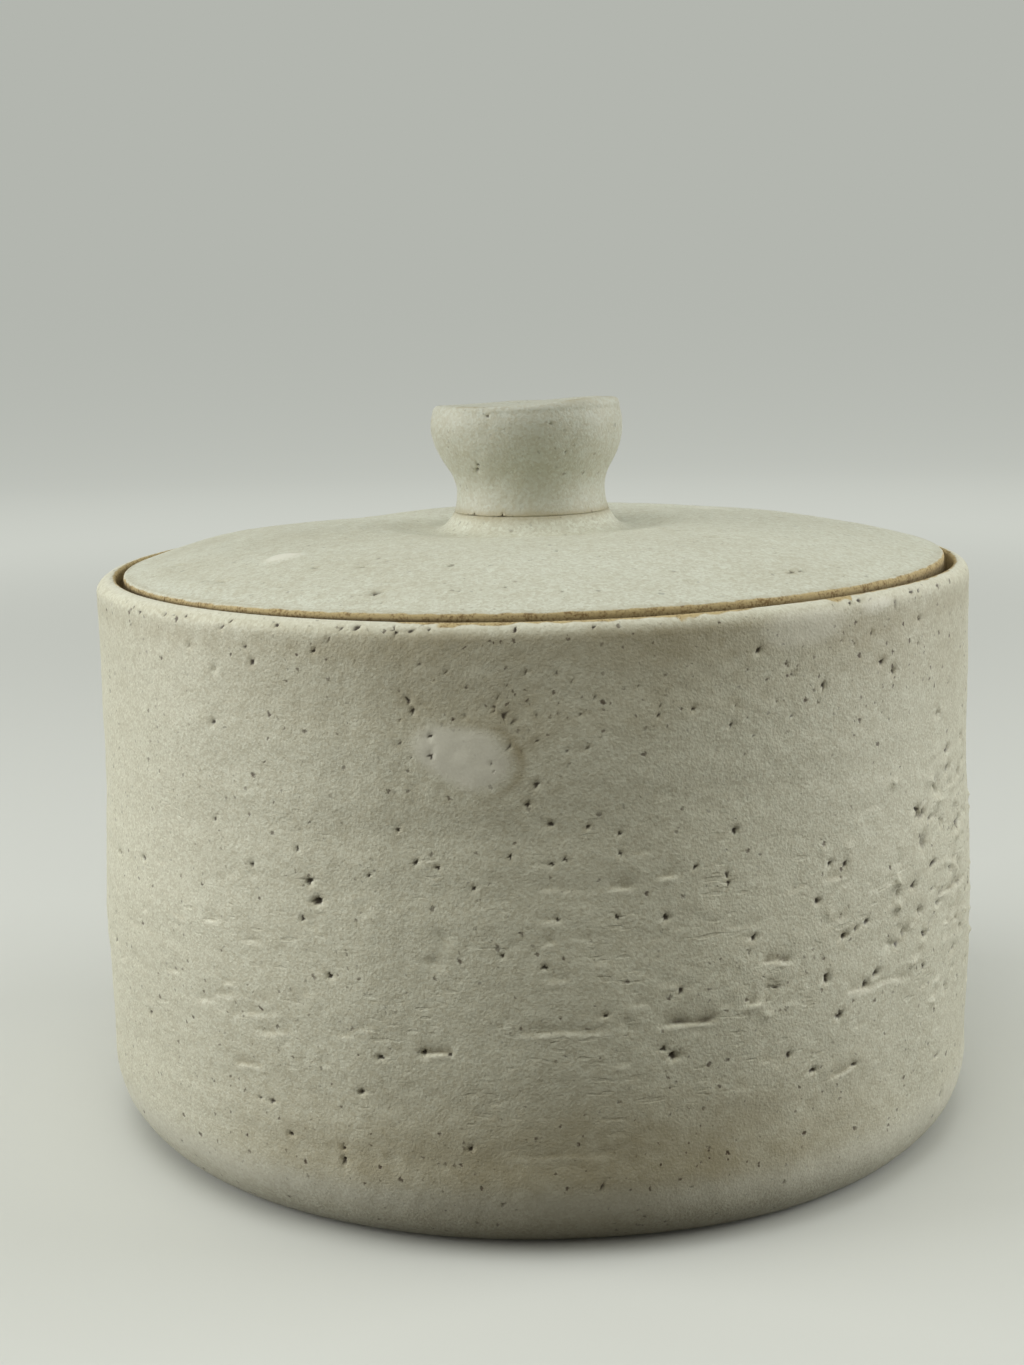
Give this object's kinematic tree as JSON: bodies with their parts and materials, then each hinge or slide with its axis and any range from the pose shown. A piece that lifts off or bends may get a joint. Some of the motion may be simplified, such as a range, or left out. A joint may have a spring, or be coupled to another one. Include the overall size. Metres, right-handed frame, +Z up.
{
  "type": "lidded stoneware jar",
  "caption": "Round, nearly straight-sided stoneware jar with a rounded heel, a ledge inside its rim and a domed inset lid that lifts off by a flared knob.",
  "frame": {"origin": "centre of the foot ring, on the surface that the jar stands on", "axes": "+Z up along the axis of the jar; -Y faces the viewer of the picture and +X is to the viewer's right"},
  "size_m": [0.1314, 0.1314, 0.1055],
  "materials": {
    "matte_glaze": "speckled matte cream glaze over stoneware, bare clay on the lid's seat and edge, the gallery and the foot"
  },
  "bodies": {
    "jar": {"jar_body": "matte_glaze"},
    "lid": {"lid_plate": "matte_glaze", "lid_knob": "matte_glaze"}
  },
  "joints": [
    {"name": "lid_lift", "type": "slide", "parent": "jar", "child": "lid", "axis": [0, 0, 1], "range_m": [0, 0.12]}
  ]
}
